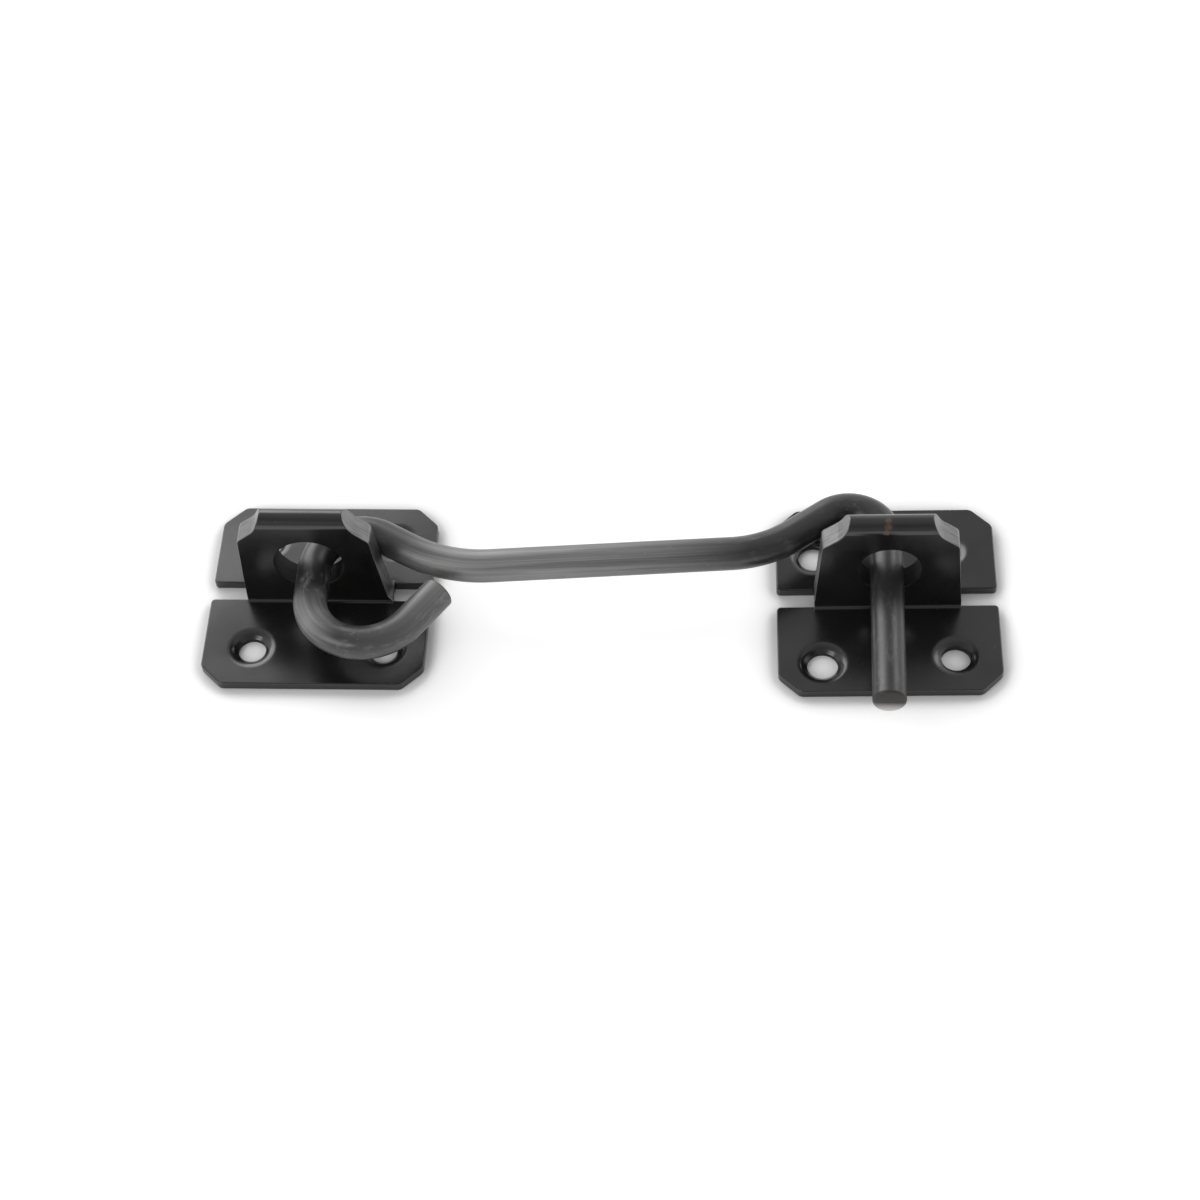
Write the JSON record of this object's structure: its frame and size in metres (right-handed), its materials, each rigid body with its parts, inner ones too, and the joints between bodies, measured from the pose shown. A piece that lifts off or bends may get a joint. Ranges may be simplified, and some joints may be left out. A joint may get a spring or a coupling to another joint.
{
  "type": "cabin hook",
  "caption": "Cabin hook: a bent black steel rod curled through a pivot plate's folded eye, arched over and dropped through the eye of a matching keeper plate.",
  "frame": {"origin": "on the mounting face, on the pivot plate's centre line, level with its two front screw holes", "axes": "+X from the pivot plate to the keeper plate, +Y from the front feet to the rear feet (against the hanging leg), +Z out of the mounting face"},
  "size_m": [0.1433, 0.0499, 0.0246],
  "materials": {
    "coated_sheet": "satin",
    "drawn_rod": "satin"
  },
  "bodies": {
    "pivot_plate": {"pivot_plate": "coated_sheet"},
    "hook": {"hook": "drawn_rod"},
    "keeper_plate": {"keeper_plate": "coated_sheet"}
  },
  "joints": [
    {"name": "hook_lift", "type": "hinge", "parent": "pivot_plate", "child": "hook", "pos_m": [0.00798, 0.01149, 0.01055], "axis": [0, 0, 1], "range_deg": [0, 90]},
    {"name": "keeper_slide", "type": "slide", "parent": "hook", "child": "keeper_plate", "axis": [0, -1, 0], "range_m": [0, 0.034]}
  ]
}
